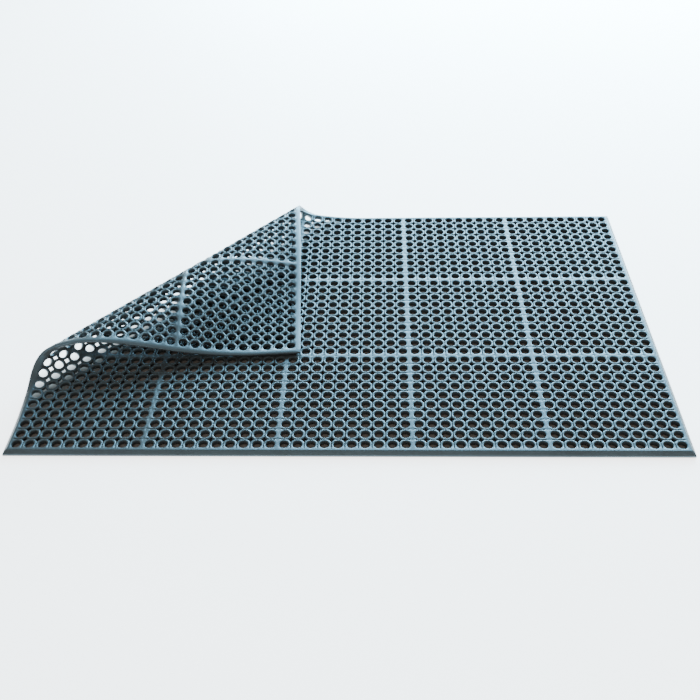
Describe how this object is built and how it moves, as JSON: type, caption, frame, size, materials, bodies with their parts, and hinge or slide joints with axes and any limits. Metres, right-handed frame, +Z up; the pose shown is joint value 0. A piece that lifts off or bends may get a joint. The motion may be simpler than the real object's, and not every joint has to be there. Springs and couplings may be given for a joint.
{
  "type": "rubber drainage mat",
  "caption": "Flat moulded rubber floor mat with a grid of round drain holes, flat ribs and a bevelled rim, one corner rolled over and laid back on the mat.",
  "frame": {"origin": "centre of the mat's rectangular footprint, on the floor", "axes": "+X along the long edge, to the right in the picture; +Y from the front edge to the back edge; +Z up"},
  "size_m": [1.521, 0.921, 0.1062],
  "materials": {
    "rubber": "moulded black rubber with a faint blue grey bloom, satin"
  },
  "bodies": {
    "root": {"panel_c1_r1": "rubber", "panel_c2_r1": "rubber", "panel_c3_r1": "rubber", "panel_c4_r1": "rubber", "panel_c5_r1": "rubber", "panel_c1_r2": "rubber", "panel_c2_r2": "rubber", "panel_c3_r2": "rubber", "panel_c4_r2": "rubber", "panel_c5_r2": "rubber", "panel_c1_r3": "rubber", "panel_c2_r3": "rubber", "panel_c3_r3": "rubber", "panel_c4_r3": "rubber", "panel_c5_r3": "rubber"}
  },
  "joints": []
}
